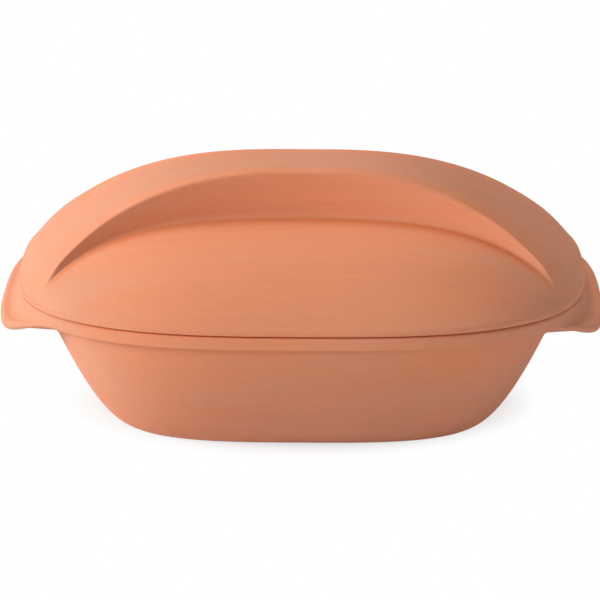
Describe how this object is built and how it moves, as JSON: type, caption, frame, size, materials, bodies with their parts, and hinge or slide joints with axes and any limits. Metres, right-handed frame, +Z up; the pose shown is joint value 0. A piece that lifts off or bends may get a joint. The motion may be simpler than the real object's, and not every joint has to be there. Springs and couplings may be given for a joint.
{
  "type": "clay roaster",
  "caption": "Oval unglazed clay roaster: a deep flared dish with drooping end lugs under a domed lift-off lid, scalloped along its long sides to leave an arched hand ridge.",
  "frame": {"origin": "middle of the dish's flat foot, on the surface that it stands on", "axes": "+X along the length towards the right lug, +Y towards the back, +Z up the way the lid lifts"},
  "size_m": [0.409, 0.27, 0.1755],
  "materials": {
    "terracotta": "matte unglazed fired clay"
  },
  "bodies": {
    "dish_body": {"base_dish": "terracotta"},
    "lid_body": {"lid": "terracotta"}
  },
  "joints": [
    {"name": "lid_lift", "type": "slide", "parent": "dish_body", "child": "lid_body", "axis": [0, 0, 1], "range_m": [0, 0.15]}
  ]
}
